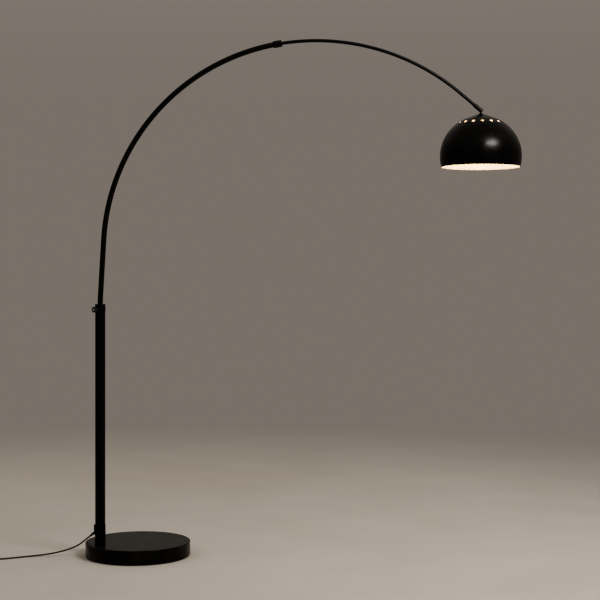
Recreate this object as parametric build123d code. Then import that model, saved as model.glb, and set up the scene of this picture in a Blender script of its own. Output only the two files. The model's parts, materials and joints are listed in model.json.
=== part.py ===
from build123d import *
import math
import os

# Arc floor lamp. Millimetres, +Z up. The origin is the centre of the base's underside, on the floor.
# The arm lies in the XZ plane and reaches towards +X; headings are degrees from vertical, towards +X.

# Driving dimensions: base and pole
BASE_R = 192.0
BASE_TOP = 53.0
PAD_THICK = 3.0
PAD_R = 184.0
POLE_X = -139.5
POLE_R = 18.3
POLE_BORE_R = 16.5
FOOT_SLEEVE_R = 19.5
FOOT_SLEEVE_TOP = 115.0
COLLAR_R = 19.0
COLLAR_TOP = 925.5
COLLAR_HEIGHT = 28.0
SPIGOT_DEPTH = 30.0

# Arm: lower (thick) tube with its stem inside the pole, upper (thin) tube
LOWER_R = 9.6
LOWER_BORE_R = 8.4
STEM_BOTTOM = 504.0
BEND_START = 928.0
BEND_R = 450.0
LEAN = 3.3
LOWER_ARC_START = 1164.0
LOWER_ARC_R = 777.0
JOINT_HEADING = 80.6
UPPER_R = 6.0
UPPER_BORE_R = 5.0
UPPER_ARC_R = 826.0
END_HEADING = 130.2
INSERTION = 110.0
SLEEVE_R = 7.8
SLEEVE_BACK = 30.5
SLEEVE_FRONT = 7.0
PIVOT_AFTER_ARC = 95.8

# Shade, measured from the swivel ball's centre
SHADE_R = 150.0
SHADE_CENTRE_DROP = 170.0
RIM_DROP = 209.3
CONE_SLOPE = 20.3
SHEET = 1.2
HOLES = 16
HOLE_R = 5.8
HOLE_RING_R = 84.0
HOLE_START = -93.0

# Fits: fixed pieces in one body, turning or sliding pieces
FIXED = 0.05
RUNNING = 0.1

# Cord
CORD_R = 2.75
CORD_EXIT_Z = 85.5
CORD_SIDEWAYS = 10.0
CORD_DOWN = 38.0

parts = {}


def keep(node, *shapes):
    """Stores the piece, or the group of equal pieces, that one node holds."""
    parts[node] = shapes[0] if len(shapes) == 1 else Compound(children=list(shapes))


def turned(*outline, on=Plane.XY):
    """A turned piece: (radius, height) corners spun about the plane's normal."""
    face = make_face(Polyline(*[(r, 0, h) for r, h in outline], close=True))
    return on * revolve(face, Axis.Z)


def ring(outer, inner, low, high, on=Plane.XY):
    return turned((inner, low), (outer, low), (outer, high), (inner, high), on=on)


def disc(radius, low, high, on=Plane.XY):
    return turned((0, low), (radius, low), (radius, high), (0, high), on=on)


def hexagon(across_flats, low, high, on=Plane.XY):
    outline = RegularPolygon(across_flats / 2, 6, major_radius=False)
    return on * Pos(0, 0, low) * extrude(outline, high - low)


def block(low, high):
    size = [b - a for a, b in zip(low, high)]
    middle = [(a + b) / 2 for a, b in zip(low, high)]
    return Pos(*middle) * Box(*size)


def upright(x, y=0.0, z=0.0):
    return Plane(origin=(x, y, z))


# The arm's centre line: where each bend starts and ends, and the bends' centres.
def along(heading):
    return Vector(math.sin(math.radians(heading)), 0, math.cos(math.radians(heading)))


def inward(heading):
    """From a point of the centre line to the centre of its bend, as a unit vector."""
    return Vector(math.cos(math.radians(heading)), 0, -math.sin(math.radians(heading)))


def bend_centre(start, heading, radius):
    return start + inward(heading) * radius


def on_bend(centre, radius, heading):
    return centre - inward(heading) * radius


def bend(centre, radius, first, last):
    stops = (on_bend(centre, radius, h) for h in (first, (first + last) / 2, last))
    return ThreePointArc(*stops)


def degrees_of(length, radius):
    return math.degrees(length / radius)


stem_top = Vector(POLE_X, 0, BEND_START)
lean_centre = bend_centre(stem_top, 0, BEND_R)
lean_start = on_bend(lean_centre, BEND_R, LEAN)
lean_length = (LOWER_ARC_START - lean_start.Z) / math.cos(math.radians(LEAN))
lean_end = lean_start + along(LEAN) * lean_length
lower_centre = bend_centre(lean_end, LEAN, LOWER_ARC_R)
joint = on_bend(lower_centre, LOWER_ARC_R, JOINT_HEADING)
upper_centre = bend_centre(joint, JOINT_HEADING, UPPER_ARC_R)
upper_arc_end = on_bend(upper_centre, UPPER_ARC_R, END_HEADING)
sleeve_line = along(END_HEADING)
pivot = upper_arc_end + sleeve_line * PIVOT_AFTER_ARC


def lower_line(bottom, short_of_joint):
    """The lower tube's centre line, from a height in the pole to a distance before the joint."""
    last = JOINT_HEADING - degrees_of(short_of_joint, LOWER_ARC_R)
    return Wire([
        Line(Vector(POLE_X, 0, bottom), stem_top),
        bend(lean_centre, BEND_R, 0, LEAN),
        Line(lean_start, lean_end),
        bend(lower_centre, LOWER_ARC_R, LEAN, last),
    ])


def upper_line(before_joint, short_of_pivot):
    """The upper tube's centre line, from inside the lower tube to a distance before the ball."""
    first = JOINT_HEADING - degrees_of(before_joint, UPPER_ARC_R)
    return Wire([
        bend(upper_centre, UPPER_ARC_R, first, END_HEADING),
        Line(upper_arc_end, pivot - sleeve_line * short_of_pivot),
    ])


def upper_stretch(before_joint, after_joint):
    first = JOINT_HEADING - degrees_of(before_joint, UPPER_ARC_R)
    last = JOINT_HEADING + degrees_of(after_joint, UPPER_ARC_R)
    return Wire([bend(upper_centre, UPPER_ARC_R, first, last)])


def lower_stretch(before_joint, short_of_joint):
    first = JOINT_HEADING - degrees_of(before_joint, LOWER_ARC_R)
    last = JOINT_HEADING - degrees_of(short_of_joint, LOWER_ARC_R)
    return Wire([bend(lower_centre, LOWER_ARC_R, first, last)])


def solid_along(path, radius):
    start = Plane(origin=path @ 0, z_dir=path % 0)
    return sweep(start * Circle(radius), path=path)


def pipe(path, outer, inner):
    return solid_along(path, outer) - solid_along(path, inner)


# Base: stone disc with a rounded edge, pad, and the bolt that holds the pole
BOLT_R = 6.0
BOLT_HOLE_R = 8.0
POCKET_R = 23.0
POCKET_DEPTH = 22.0
WASHER_R = 20.0
WASHER_THICK = 3.0
BOLT_HEAD = 8.0
BOLT_ACROSS = 19.0
INSERT_HEIGHT = 22.0
EDGE_ROUND = 3.0
UNDER_CHAMFER = 1.5


def make_base():
    pole_axis = upright(POLE_X)
    stone = disc(BASE_R, PAD_THICK, BASE_TOP)
    stone = fillet(stone.edges().group_by(Axis.Z)[-1], EDGE_ROUND)
    stone = chamfer(stone.edges().group_by(Axis.Z)[0], UNDER_CHAMFER)
    pocket_top = PAD_THICK + POCKET_DEPTH
    stone -= disc(BOLT_HOLE_R, 0, BASE_TOP + 1, on=pole_axis)
    stone -= disc(POCKET_R, 0, pocket_top, on=pole_axis)
    keep("base_stone", stone)
    pad = disc(PAD_R, 0, PAD_THICK) - disc(POCKET_R + 2, -1, PAD_THICK + 1, on=pole_axis)
    keep("base_pad", pad)
    washer_bottom = pocket_top - WASHER_THICK
    keep("pole_washer", ring(WASHER_R, BOLT_R + 0.5, washer_bottom, pocket_top, on=pole_axis))
    head = hexagon(BOLT_ACROSS, washer_bottom - BOLT_HEAD, washer_bottom, on=pole_axis)
    shank = disc(BOLT_R - FIXED, washer_bottom - 1, BASE_TOP + INSERT_HEIGHT - 3, on=pole_axis)
    keep("pole_bolt", head + shank)


# Clamp knob at the collar: fluted head on a threaded stud that presses on the stem
KNOB_Z = 905.6
KNOB_TURN = 50.0
KNOB_R = 10.5
KNOB_NEAR = 20.6
KNOB_FAR = 33.5
KNOB_FLUTES = 10
FLUTE_R = 2.0
KNOB_STUD_R = 3.0
KNOB_FACE_R = 4.4
STUD_GAP = 0.3

knob_aim = Vector(-1, 0, 0).rotate(Axis.Z, KNOB_TURN)
knob_plane = Plane(origin=(POLE_X, 0, KNOB_Z), x_dir=(0, 0, 1), z_dir=knob_aim)


def make_knob():
    rim = [(KNOB_R, KNOB_NEAR), (KNOB_R, KNOB_FAR - 1.2), (KNOB_R - 1.2, KNOB_FAR)]
    head = turned((0, KNOB_NEAR), *rim, (0, KNOB_FAR))
    for i in range(KNOB_FLUTES):
        flute = Pos(KNOB_R + 1.2, 0, 0) * disc(FLUTE_R, KNOB_NEAR - 1, KNOB_FAR + 1)
        head -= Rot(0, 0, i * 360 / KNOB_FLUTES) * flute
    head -= disc(KNOB_STUD_R + FIXED, KNOB_NEAR - 1, KNOB_FAR + 1)
    head -= disc(KNOB_FACE_R + FIXED, KNOB_FAR - 4, KNOB_FAR + 1)
    keep("lock_knob", knob_plane * head)
    stud = turned(
        (0, LOWER_R + STUD_GAP), (KNOB_STUD_R - 0.8, LOWER_R + STUD_GAP),
        (KNOB_STUD_R, LOWER_R + STUD_GAP + 0.8), (KNOB_STUD_R, KNOB_FAR - 4),
        (KNOB_FACE_R, KNOB_FAR - 4), (KNOB_FACE_R, KNOB_FAR - 0.2), (KNOB_FACE_R - 0.5, KNOB_FAR + 0.3),
        (0, KNOB_FAR + 0.3), on=knob_plane)
    keep("knob_stud", stud)


# Pole: tube, threaded plug in its foot, foot sleeve, top collar and its bush
CORD_HOLE_R = 4.1
BUSH_R = 11.6
BUSH_LENGTH = 50.0
COLLAR_EDGE = 0.8

cord_aim = Vector(-1, 0, 0).rotate(Axis.Y, -CORD_DOWN).rotate(Axis.Z, CORD_SIDEWAYS)
flat_aim = Vector(cord_aim.X, cord_aim.Y, 0).normalized()
cord_exit = Vector(POLE_X, 0, CORD_EXIT_Z) + flat_aim * FOOT_SLEEVE_R
relief_plane = Plane(origin=cord_exit, z_dir=cord_aim)
RELIEF_IN = 7.0
RELIEF_OUT = 20.0
RELIEF_R = 5.0
RELIEF_TIP_R = 3.9
RELIEF_LIP = 4.2
RELIEF_RIBS = 4
RIB_PITCH = 2.8
FIRST_GROOVE = 8.4
FLANGE_LOW = 77.0
FLANGE_HIGH = 114.0
FLANGE_WIDE = 13.0
FLANGE_PROUD = 3.8
FLANGE_ROUND = 2.4


def make_relief():
    """Strain relief: an oblong flange that hugs the sleeve, and a ribbed taper round the cord."""
    height = FLANGE_HIGH - FLANGE_LOW
    plate = extrude(SlotOverall(height, FLANGE_WIDE), FOOT_SLEEVE_R + FLANGE_PROUD)
    plate = fillet(plate.edges().group_by(Axis.Z)[-1], FLANGE_ROUND)
    middle = (POLE_X, 0, FLANGE_LOW + height / 2)
    plate = Plane(origin=middle, x_dir=(0, 0, 1), z_dir=flat_aim) * plate
    plate -= disc(FOOT_SLEEVE_R + FIXED, 0, FOOT_SLEEVE_TOP, on=upright(POLE_X))
    neck_r, taper_start = CORD_HOLE_R - FIXED, RELIEF_LIP + 2
    taper = turned(
        (0, -RELIEF_IN), (neck_r, -RELIEF_IN), (neck_r, RELIEF_LIP), (RELIEF_R, RELIEF_LIP + 0.4),
        (RELIEF_R, taper_start), (RELIEF_TIP_R, RELIEF_OUT), (0, RELIEF_OUT), on=relief_plane)
    narrowing = (RELIEF_R - RELIEF_TIP_R) / (RELIEF_OUT - taper_start)
    for i in range(RELIEF_RIBS):
        at = FIRST_GROOVE + i * RIB_PITCH
        floor_r = RELIEF_R - narrowing * (at - taper_start) - 0.6
        taper -= ring(RELIEF_R + 1, floor_r, at, at + 1.1, on=relief_plane)
    keep("cord_relief", plate + taper - disc(CORD_R + FIXED, -RELIEF_IN - 1, RELIEF_OUT + 1, on=relief_plane))


def make_pole():
    pole_axis = upright(POLE_X)
    collar_bottom = COLLAR_TOP - COLLAR_HEIGHT
    cord_hole = disc(CORD_HOLE_R, -2 * RELIEF_IN, RELIEF_LIP, on=relief_plane)
    keep("pole", ring(POLE_R, POLE_BORE_R, BASE_TOP, collar_bottom, on=pole_axis) - cord_hole)
    plug = ring(POLE_BORE_R - FIXED, BOLT_R, BASE_TOP, BASE_TOP + INSERT_HEIGHT, on=pole_axis)
    keep("pole_foot_plug", plug)
    sleeve = ring(FOOT_SLEEVE_R, POLE_R + FIXED, BASE_TOP, FOOT_SLEEVE_TOP, on=pole_axis)
    sleeve = chamfer(sleeve.edges().group_by(Axis.Z)[-1].sort_by(SortBy.LENGTH)[-1], 0.8)
    keep("pole_foot_sleeve", sleeve - cord_hole)

    spigot_bottom = collar_bottom - SPIGOT_DEPTH
    collar = turned(
        (BUSH_R, spigot_bottom), (POLE_BORE_R - FIXED, spigot_bottom),
        (POLE_BORE_R - FIXED, collar_bottom), (COLLAR_R, collar_bottom),
        (COLLAR_R, COLLAR_TOP - COLLAR_EDGE), (COLLAR_R - COLLAR_EDGE, COLLAR_TOP),
        (BUSH_R, COLLAR_TOP), on=pole_axis)
    keep("pole_top_collar", collar - disc(KNOB_STUD_R + RUNNING / 2, 0, 30, on=knob_plane))
    bush = ring(BUSH_R - FIXED, LOWER_R + RUNNING, COLLAR_TOP - BUSH_LENGTH, COLLAR_TOP - 1, on=pole_axis)
    keep("collar_bush", bush - disc(KNOB_STUD_R + 0.4, 0, 30, on=knob_plane))

    inside = Vector(POLE_X, 0, CORD_EXIT_Z + 12)
    lead_in = [cord_exit - cord_aim * RELIEF_IN, inside, Vector(POLE_X, 0, CORD_EXIT_Z + 60)]
    riser = FilletPolyline(*lead_in, Vector(POLE_X + 1, 0, STEM_BOTTOM - 14), radius=[10, 30])
    keep("pole_flex", solid_along(Wire(riser.edges()), CORD_R))


# Stem fittings: a nylon guide slides in the pole and the stem turns in it
GUIDE_LENGTH = 30.0
STEM_FLANGE_R = 12.6
STEM_FLANGE = 5.0
RETAINER = 1.5


def make_stem_fittings():
    pole_axis = upright(POLE_X)
    guide_bottom = STEM_BOTTOM + 0.3
    guide_top = guide_bottom + GUIDE_LENGTH
    keep("stem_guide", ring(POLE_BORE_R - RUNNING, LOWER_R + RUNNING, guide_bottom, guide_top, on=pole_axis))
    retainer_bottom = guide_top + 0.3
    retainer = ring(STEM_FLANGE_R, LOWER_R + FIXED, retainer_bottom, retainer_bottom + RETAINER, on=pole_axis)
    keep("stem_retaining_ring", retainer)
    end_plug = turned(
        (CORD_R + 0.6, STEM_BOTTOM - STEM_FLANGE), (STEM_FLANGE_R, STEM_BOTTOM - STEM_FLANGE),
        (STEM_FLANGE_R, STEM_BOTTOM), (LOWER_BORE_R - FIXED, STEM_BOTTOM),
        (LOWER_BORE_R - FIXED, STEM_BOTTOM + 20), (CORD_R + 0.6, STEM_BOTTOM + 20), on=pole_axis)
    keep("stem_end_plug", end_plug)


# Ferrule where the thin tube slides in the thick one, with its bush and grub screw
FERRULE_R = 12.7
FERRULE_BACK = 24.0
FERRULE_FRONT = 7.7
TUBE_END = 9.0
GROOVE_AT = 19.5
GROOVE_DEPTH = 0.7
GRUB_R = 2.0
BUSH_SEAT_R = 9.0
BUSH_START = 8.8
FLEX_END_BEFORE_JOINT = 190.0


def make_lower_arm():
    keep("lower_arm_tube", pipe(lower_line(STEM_BOTTOM, TUBE_END), LOWER_R, LOWER_BORE_R))
    line = Plane(origin=joint, x_dir=(0, 1, 0), z_dir=along(JOINT_HEADING - 0.8))
    body = turned(
        (0, -FERRULE_BACK), (FERRULE_R - 0.8, -FERRULE_BACK), (FERRULE_R, -FERRULE_BACK + 0.8),
        (FERRULE_R, -GROOVE_AT), (FERRULE_R - GROOVE_DEPTH, -GROOVE_AT + GROOVE_DEPTH),
        (FERRULE_R, -GROOVE_AT + 2 * GROOVE_DEPTH), (FERRULE_R, FERRULE_FRONT - 1.2),
        (FERRULE_R - 1.2, FERRULE_FRONT), (0, FERRULE_FRONT), on=line)
    body -= solid_along(lower_stretch(FERRULE_BACK + 3, TUBE_END), LOWER_R + FIXED)
    body -= disc(BUSH_SEAT_R, -TUBE_END - 1, FERRULE_FRONT - 1.5, on=line)
    body -= solid_along(upper_stretch(12, 10), UPPER_R + 0.7)
    grub_plane = Plane(origin=joint - along(JOINT_HEADING) * 2.5, z_dir=inward(JOINT_HEADING))
    body -= disc(GRUB_R, 0, FERRULE_R + 1, on=grub_plane)
    keep("joint_ferrule", body)
    bush = disc(BUSH_SEAT_R - FIXED, -BUSH_START, FERRULE_FRONT - 1.6, on=line)
    bush -= solid_along(upper_stretch(14, 12), UPPER_R + RUNNING)
    keep("joint_bush", bush - disc(GRUB_R + 0.2, 0, FERRULE_R + 1, on=grub_plane))
    grub = disc(GRUB_R - FIXED, UPPER_R + 0.3, FERRULE_R - 0.3, on=grub_plane)
    grub -= hexagon(2.0, FERRULE_R - 2.3, FERRULE_R, on=grub_plane)
    keep("joint_grub_screw", grub)
    keep("lower_arm_flex", solid_along(lower_line(STEM_BOTTOM + 8, FLEX_END_BEFORE_JOINT), CORD_R))


# Upper arm: thin tube, the ring on its inner end, and the socket sleeve of the swivel ball
BALL_R = 6.2
BALL_GAP = 0.1
STUD_R = 2.9
STUD_BORE_R = 2.1
SLOT_HALF = 3.3
TUBE_SHORT_OF_BALL = 14.0
TAIL_RING_R = 7.1
TAIL_RING_LENGTH = 8.0
TILT_IN = 20.0


def socket_slot():
    """The opening that the stud swings in, from straight ahead to the inward limit."""
    depth = SLEEVE_R + SLEEVE_FRONT
    ahead = math.degrees(math.atan2(sleeve_line.Z, sleeve_line.X))
    behind = -90 - TILT_IN
    steps = [ahead + (behind - ahead) * i / 4 for i in range(5)]
    rim = [(depth * math.cos(math.radians(a)), depth * math.sin(math.radians(a))) for a in steps]
    fan = make_face(Polyline((0, 0), *rim, close=True))
    slot = extrude(Plane(origin=pivot, x_dir=(1, 0, 0), z_dir=(0, -1, 0)) * fan, SLOT_HALF, both=True)
    for angle in (ahead, behind, -90):
        swing = Vector(math.cos(math.radians(angle)), 0, math.sin(math.radians(angle)))
        slot += disc(SLOT_HALF, 0, depth, on=Plane(origin=pivot, z_dir=swing))
    return slot


def make_upper_arm():
    keep("upper_arm_tube", pipe(upper_line(INSERTION, TUBE_SHORT_OF_BALL), UPPER_R, UPPER_BORE_R))
    first = INSERTION + 0.5
    tail = solid_along(upper_stretch(first, TAIL_RING_LENGTH - first), TAIL_RING_R)
    keep("tube_tail_ring", tail - solid_along(upper_stretch(first + 2, TAIL_RING_LENGTH), UPPER_R + FIXED))
    line = Plane(origin=pivot, x_dir=(0, 1, 0), z_dir=sleeve_line)
    sleeve = turned(
        (UPPER_R + FIXED, -SLEEVE_BACK), (SLEEVE_R - 0.6, -SLEEVE_BACK), (SLEEVE_R, -SLEEVE_BACK + 0.6),
        (SLEEVE_R, SLEEVE_FRONT - 0.6), (SLEEVE_R - 0.6, SLEEVE_FRONT), (SLOT_HALF, SLEEVE_FRONT),
        (SLOT_HALF, 0), (BALL_R + BALL_GAP, 0), (BALL_R + BALL_GAP, -TUBE_SHORT_OF_BALL),
        (UPPER_R + FIXED, -TUBE_SHORT_OF_BALL), on=line)
    sleeve -= Pos(*pivot) * Sphere(BALL_R + BALL_GAP)
    keep("end_sleeve", sleeve - socket_slot())
    keep("upper_arm_flex", solid_along(upper_line(INSERTION - 2, BALL_R + 4), CORD_R))
    ball = Pos(*pivot) * Sphere(BALL_R)
    ball -= disc(STUD_R + FIXED, -BALL_R - 1, -0.5, on=upright(*pivot))
    ball -= disc(STUD_BORE_R, 0, BALL_R + 1, on=Plane(origin=pivot, z_dir=sleeve_line * -1))
    keep("swivel_ball", ball - Pos(*pivot) * Sphere(STUD_BORE_R + 0.2))


# Shade, hung on a hollow stud, with the lamp holder and the bulb
FLAT_R = 9.0
STUD_TOP_DROP = 0.7
STUD_LENGTH = 42.0
CAP_R = 8.6
HOLDER_R = 20.5
BULB_R = 30.0
BULB_DROP = 128.0
NECK_R = 13.2
NECK_RISE = 51.0
NECK_IN_CAP = 3.0


def shade_sheet():
    """Half section of the dome about its own centre: sphere, tangent cone, small flat top."""
    rim_height = SHADE_CENTRE_DROP - RIM_DROP

    def on_sphere(radius, polar):
        return (radius * math.sin(math.radians(polar)), 0, radius * math.cos(math.radians(polar)))

    def wall(radius):
        rim_polar = math.degrees(math.acos(rim_height / radius))
        start, end = on_sphere(radius, rim_polar), on_sphere(radius, CONE_SLOPE)
        middle = on_sphere(radius, (rim_polar + CONE_SLOPE) / 2)
        top = end[2] + (end[0] - FLAT_R) * math.tan(math.radians(CONE_SLOPE))
        return start, middle, end, (FLAT_R, 0, top)

    outer, inner = wall(SHADE_R), wall(SHADE_R - SHEET)
    hole = STUD_R + FIXED
    outline = [
        ThreePointArc(*outer[:3]), Line(outer[2], outer[3]), Line(outer[3], (hole, 0, outer[3][2])),
        Line((hole, 0, outer[3][2]), (hole, 0, inner[3][2])), Line((hole, 0, inner[3][2]), inner[3]),
        Line(inner[3], inner[2]), ThreePointArc(*reversed(inner[:3])), Line(inner[0], outer[0]),
    ]
    return make_face(Wire(outline)), outer[3][2], inner[3][2]


def make_shade():
    centre = pivot - Vector(0, 0, SHADE_CENTRE_DROP)
    face, flat_top, flat_under = shade_sheet()
    dome = revolve(face, Axis.Z)
    polar = math.degrees(math.asin(HOLE_RING_R / SHADE_R))
    for i in range(HOLES):
        spin = Rot(0, 0, HOLE_START + i * 360 / HOLES)
        dome -= spin * Rot(0, polar, 0) * disc(HOLE_R, SHADE_R - 15, SHADE_R + 10)
    keep("shade", Pos(*centre) * dome)

    top, under = (centre.Z + h for h in (flat_top, flat_under))
    axis = upright(pivot.X)
    cap = turned((STUD_R + FIXED, top), (CAP_R, top), (CAP_R, top + 0.7), (3.8, top + 2.9),
                 (STUD_R + FIXED, top + 2.9), on=axis)
    keep("shade_cap", cap)
    nut = hexagon(12.0, under - 3.5, under, on=axis) - disc(STUD_R + FIXED, under - 5, under + 1, on=axis)
    keep("shade_lock_nut", nut)
    stud_top = pivot.Z - STUD_TOP_DROP
    keep("hollow_stud", ring(STUD_R, STUD_BORE_R, stud_top - STUD_LENGTH, stud_top, on=axis))


def make_lamp_holder():
    axis = upright(pivot.X)
    z = pivot.Z
    cap = turned(
        (STUD_R + FIXED, z - 20), (8, z - 20), (16, z - 26), (HOLDER_R, z - 34), (HOLDER_R, z - 48),
        (HOLDER_R - 2, z - 48), (HOLDER_R - 2, z - 35), (15, z - 28), (7.5, z - 23),
        (STUD_R + FIXED, z - 23), on=axis)
    keep("holder_cap", cap)
    shell = turned(
        (HOLDER_R - 2, z - 48.2), (HOLDER_R, z - 48.2), (HOLDER_R, z - 56), (HOLDER_R + 2, z - 58),
        (HOLDER_R + 2, z - 62), (HOLDER_R, z - 64), (HOLDER_R - 1.5, z - 78), (HOLDER_R - 3.5, z - 78),
        (HOLDER_R - 2, z - 64), on=axis)
    keep("holder_shell", shell)
    insulator = disc(HOLDER_R - 2.2, z - 51, z - 45, on=axis) - disc(2.4, z - 52, z - 44, on=axis)
    keep("holder_insulator", insulator)
    shell_top = z - 51.05
    keep("holder_screw_shell", ring(14.4, 13.8, z - 75, shell_top, on=axis))
    keep("holder_contact", ring(5.0, 2.6, z - 52.5, shell_top, on=axis))
    bulb_cap = turned(
        (0, z - 53), (4, z - 53), (6, z - 56), (13.3, z - 58), (13.3, z - 79.9), (0, z - 79.9), on=axis)
    keep("bulb_cap", bulb_cap)
    far = math.hypot(NECK_R, NECK_RISE)
    touch = math.atan2(NECK_RISE, NECK_R) - math.acos(BULB_R / far)
    shoulder = (BULB_R * math.cos(touch), 0, BULB_R * math.sin(touch))
    low = (0, 0, -BULB_R)
    side = (BULB_R * math.cos(touch / 2 - math.pi / 4), 0, BULB_R * math.sin(touch / 2 - math.pi / 4))
    neck_top = NECK_RISE - NECK_IN_CAP
    glass = make_face(Wire([
        ThreePointArc(low, side, shoulder), Line(shoulder, (NECK_R, 0, neck_top)),
        Line((NECK_R, 0, neck_top), (0, 0, neck_top)), Line((0, 0, neck_top), low)]))
    keep("bulb_glass", Pos(pivot.X, 0, z - BULB_DROP) * revolve(glass, Axis.Z))
    keep("shade_flex", disc(STUD_BORE_R - 0.3, z - 44.5, z - 3, on=axis))


# Foot switch on the cord, lying on the floor
SWITCH_X = -570.0
SWITCH_Y = -90.0
SWITCH_LENGTH = 84.0
SWITCH_WIDTH = 46.0
SWITCH_SPLIT = 6.0
SWITCH_TOP = 22.0
SWITCH_WALL = 2.2
BUTTON_R = 13.0
BUTTON_RISE = 4.0
BUTTON_FLANGE = 1.6
ENTRY_Z = 6.0
CONTACTS_TOP = 13.5
POST_X, POST_Y = 30.0, 12.0
POST_R = 2.2
POST_TOP = 12.0


def switch_outline(shrink):
    return RectangleRounded(SWITCH_LENGTH - 2 * shrink, SWITCH_WIDTH - 2 * shrink, 14 - shrink)


def make_foot_switch():
    at = Pos(SWITCH_X, SWITCH_Y, 0)
    entries = at * Rot(0, 90, 0) * Cylinder(CORD_R + FIXED, SWITCH_LENGTH + 10)
    entries = Pos(0, 0, ENTRY_Z) * entries
    lower = extrude(switch_outline(0), SWITCH_SPLIT)
    lower = chamfer(lower.edges().group_by(Axis.Z)[0], 1.0)
    lower -= Pos(0, 0, SWITCH_WALL) * extrude(switch_outline(SWITCH_WALL), SWITCH_SPLIT)
    keep("switch_base", at * lower - entries)
    upper = Pos(0, 0, SWITCH_SPLIT) * extrude(switch_outline(0), SWITCH_TOP - SWITCH_SPLIT)
    upper = fillet(upper.edges().group_by(Axis.Z)[-1], 5.0)
    room = extrude(switch_outline(SWITCH_WALL), SWITCH_TOP - SWITCH_WALL - SWITCH_SPLIT)
    room = fillet(room.edges().group_by(Axis.Z)[-1], 3.0)
    upper -= Pos(0, 0, SWITCH_SPLIT) * room
    upper -= disc(BUTTON_R + 0.3, SWITCH_SPLIT, SWITCH_TOP + 1)
    keep("switch_cover", at * upper - entries)
    under_lid = SWITCH_TOP - SWITCH_WALL - 0.3
    button = turned(
        (0, under_lid - BUTTON_FLANGE), (BUTTON_R + 2, under_lid - BUTTON_FLANGE), (BUTTON_R + 2, under_lid),
        (BUTTON_R, under_lid), (BUTTON_R, SWITCH_TOP + BUTTON_RISE - 1.2),
        (BUTTON_R - 1.2, SWITCH_TOP + BUTTON_RISE), (0, SWITCH_TOP + BUTTON_RISE))
    keep("switch_button", at * button)
    contacts = block((-13, -9, SWITCH_WALL), (13, 9, CONTACTS_TOP))
    keep("switch_contact_block", at * contacts)
    corners = [(side * POST_X, front * POST_Y) for side in (-1, 1) for front in (-1, 1)]
    posts = [at * disc(POST_R, SWITCH_WALL, POST_TOP, on=upright(x, y)) for x, y in corners]
    keep("switch_posts", *posts)


# Cord on the floor: route to the switch, coil of the spare length, tie and plug
COIL_X = -672.0
COIL_TURN_R = (34.5, 29.0, 23.5)
COIL_HEIGHT = 6 * CORD_R
COIL_Y = SWITCH_Y + COIL_TURN_R[0]
PLUG_Y = COIL_Y + COIL_TURN_R[0]
PLUG_TAIL_X = -621.0
PLUG_Z = 6.9

ROUTE = [
    (-160.26, -3.66, 84.27),
    (-186.64, -8.31, 63.34),
    (-216, -13.5, 40.2),
    (-252, -17, 25.0),
    (-293, -19, 14.4),
    (-334, -20, 7.0),
    (-374, -26, 3.6),
    (-413, -42, 2.75),
    (-453, -64, 2.75),
    (-487, -83, 3.0),
    (-516, SWITCH_Y, ENTRY_Z),
    (-540, SWITCH_Y, ENTRY_Z),
]
TAIL_ROUTE = [
    (-600, SWITCH_Y, ENTRY_Z),
    (-628, SWITCH_Y, ENTRY_Z),
    (-646, SWITCH_Y, 2.9),
    (-660, SWITCH_Y, 2.75),
]
PLUG_ROUTE = [
    (-662, PLUG_Y, 13.75),
    (-647, PLUG_Y, 9.6),
    (-631, PLUG_Y, PLUG_Z),
    (-617, PLUG_Y, PLUG_Z),
]


def cord_tube(name, points):
    """A tube of straight runs and tangent arcs, each arc as large as its two runs allow."""
    corners = [Vector(*p) for p in points]
    runs = [b - a for a, b in zip(corners, corners[1:])]
    radii = []
    for before, after in zip(runs, runs[1:]):
        half_turn = math.radians(before.get_angle(after)) / 2
        radii.append(0.45 * min(before.length, after.length) / math.tan(half_turn))
    path = Wire(FilletPolyline(*corners, radius=radii).edges())
    tube = solid_along(path, CORD_R)
    print(name, "arc radii", [round(r) for r in radii], "length", round(path.length, 1),
          "volume over section x length", round(tube.volume / (math.pi * CORD_R**2 * path.length), 4))
    keep(name, tube)


def make_cord():
    cord_tube("power_cord", ROUTE)
    cord_tube("cord_switch_to_coil", TAIL_ROUTE)
    cord_tube("cord_coil_to_plug", PLUG_ROUTE)
    at = upright(COIL_X, COIL_Y)
    outer, inner = COIL_TURN_R[0] + CORD_R, COIL_TURN_R[-1] - CORD_R
    coil = ring(outer, inner, 0, COIL_HEIGHT)
    coil = chamfer(coil.edges(), 1.5)
    keep("cord_coil", Pos(COIL_X, COIL_Y, 0) * coil)
    tie = block((-outer - 1.4, -5, 0), (-inner + 1.4, 5, COIL_HEIGHT + 1.4))
    tie -= block((-outer - 0.2, -6, 1.0), (-inner + 0.2, 6, COIL_HEIGHT + 0.2))
    keep("cord_tie", Pos(COIL_X, COIL_Y, 0) * tie)


# Plug: flat two-pin body with a tapered tail, lying on its wide side
PLUG_TAIL = 24.0
PLUG_BODY = 34.0
PLUG_WIDE = 35.0
PLUG_THICK = 13.6
PIN_R = 2.0
PIN_LENGTH = 19.0
PIN_SPACING = 18.6


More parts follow.
